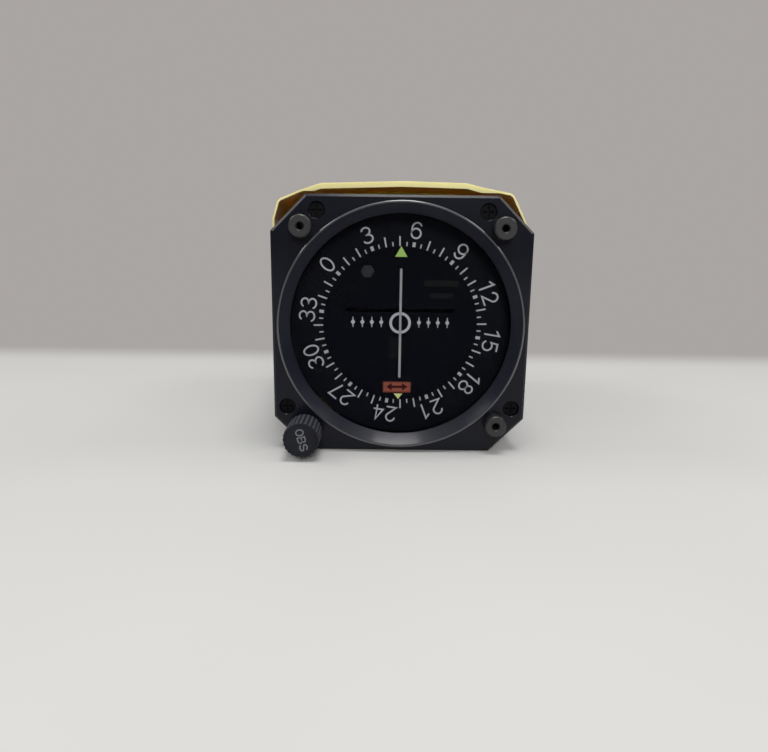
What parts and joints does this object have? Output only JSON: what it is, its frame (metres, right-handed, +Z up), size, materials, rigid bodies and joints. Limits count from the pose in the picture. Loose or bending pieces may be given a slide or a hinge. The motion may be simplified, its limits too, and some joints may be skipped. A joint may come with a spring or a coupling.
{
  "type": "course deviation indicator",
  "caption": "Panel instrument with a square chamfered flange, turning compass card, deviation needle, warning flag, selector knob and a long boxed case behind.",
  "frame": {"origin": "centre of the round spigot, on the front face of the square flange", "axes": "+X to the right, +Y into the panel away from the pilot, +Z up"},
  "size_m": [0.0826, 0.1315, 0.087],
  "materials": {
    "black_bezel": "satin",
    "black_case": "matte",
    "black_oxide": "matte",
    "black_paint": "satin",
    "board_green": "satin",
    "brass_gear": "satin",
    "card_black": "matte",
    "cast_alloy": "matte",
    "chassis_alloy": "satin",
    "chip_black": "matte",
    "clear_glass": "polished",
    "coil_copper": "enamelled",
    "connector_steel": "plated",
    "cover_yellow": "satin",
    "face_black": "matte",
    "flag_red": "matte",
    "gasket_rubber": "matte",
    "insulator_black": "matte",
    "knob_black": "matte",
    "lens_dark": "gloss",
    "magnet": "matte",
    "needle_white": "matte",
    "photocell_grey": "gloss",
    "post_nickel": "satin",
    "spacer_black": "matte anodised",
    "steel": "satin",
    "vane_white": "matte"
  },
  "bodies": {
    "housing": {"annunciator_lens_lower": "lens_dark", "annunciator_lens_upper": "lens_dark", "bezel_ring": "black_bezel", "board_parts": "chip_black", "card_bearing": "brass_gear", "case_screws": "steel", "centre_dial": "face_black", "chassis_pillars_front": "steel", "chassis_pillars_rear": "steel", "connector_insulator": "insulator_black", "connector_jacks": "steel", "dial_pillars": "steel", "flag_bracket": "chassis_alloy", "flag_core": "magnet", "flange_screw_1": "black_oxide", "flange_screw_2": "black_oxide", "flange_screw_3": "black_oxide", "flange_screw_4": "black_oxide", "front_flange": "black_paint", "front_housing": "cast_alloy", "gear_plate": "chassis_alloy", "gear_plate_posts": "steel", "glass_gasket": "gasket_rubber", "lens_spacer": "spacer_black", "main_board": "board_green", "mid_plate": "chassis_alloy", "mounting_post_bottom_right": "post_nickel", "mounting_post_top_left": "post_nickel", "mounting_post_top_right": "post_nickel", "needle_bracket": "chassis_alloy", "needle_core": "magnet", "obs_bushing": "brass_gear", "photocell_lens": "photocell_grey", "rear_case": "black_case", "rear_connector": "connector_steel", "rear_plate": "chassis_alloy", "resolver_body": "steel", "resolver_plate": "chassis_alloy", "resolver_posts": "steel", "to_from_bracket": "chassis_alloy", "to_from_core": "magnet", "top_cover": "cover_yellow", "window_glass": "clear_glass"},
    "obs_knob": {"obs_knob": "knob_black", "knob_set_screw": "black_oxide", "obs_shaft": "steel", "obs_pinion": "brass_gear"},
    "idler": {"idler_cluster": "brass_gear"},
    "compass_card": {"compass_card": "card_black", "card_gear": "brass_gear"},
    "resolver_rotor": {"resolver_gear": "brass_gear"},
    "cdi_needle": {"cdi_needle": "needle_white", "needle_coil": "coil_copper"},
    "nav_flag": {"nav_flag": "flag_red", "flag_coil": "coil_copper"},
    "to_from": {"to_from_vane": "vane_white", "to_from_coil": "coil_copper"}
  },
  "joints": [
    {"name": "card_turn", "type": "hinge", "parent": "housing", "child": "compass_card", "pos_m": [0, 0.0082, 0], "axis": [0, 1, 0], "continuous": true},
    {"name": "obs_turn", "type": "hinge", "parent": "housing", "child": "obs_knob", "pos_m": [-0.03101, 0, -0.03411], "axis": [0, 1, 0], "continuous": true},
    {"name": "idler_turn", "type": "hinge", "parent": "housing", "child": "idler", "pos_m": [-0.02614, 0.01, -0.03061], "axis": [0, 1, 0], "continuous": true},
    {"name": "resolver_turn", "type": "hinge", "parent": "housing", "child": "resolver_rotor", "pos_m": [-0.0135, 0.02, -0.01954], "axis": [0, 1, 0], "continuous": true},
    {"name": "needle_swing", "type": "hinge", "parent": "housing", "child": "cdi_needle", "pos_m": [0, 0.1, -0.00055], "axis": [0, 0, 1], "range_deg": [-9.6, 9.6], "stiffness_Nm_per_rad": 0.001},
    {"name": "flag_lift", "type": "hinge", "parent": "housing", "child": "nav_flag", "pos_m": [0.00875, 0.066, -0.023], "axis": [-1, 0, 0], "range_deg": [0, 6.5]},
    {"name": "to_from_swing", "type": "hinge", "parent": "housing", "child": "to_from", "pos_m": [-0.001, 0.066, -0.00995], "axis": [0, 0, 1], "range_deg": [-7.5, 7.5], "stiffness_Nm_per_rad": 0.0006}
  ],
  "couplings": [
    {"joint": "idler_turn", "follows": "card_turn", "ratio": -6},
    {"joint": "obs_turn", "follows": "card_turn", "ratio": 8.4},
    {"joint": "resolver_turn", "follows": "card_turn", "ratio": 1}
  ]
}
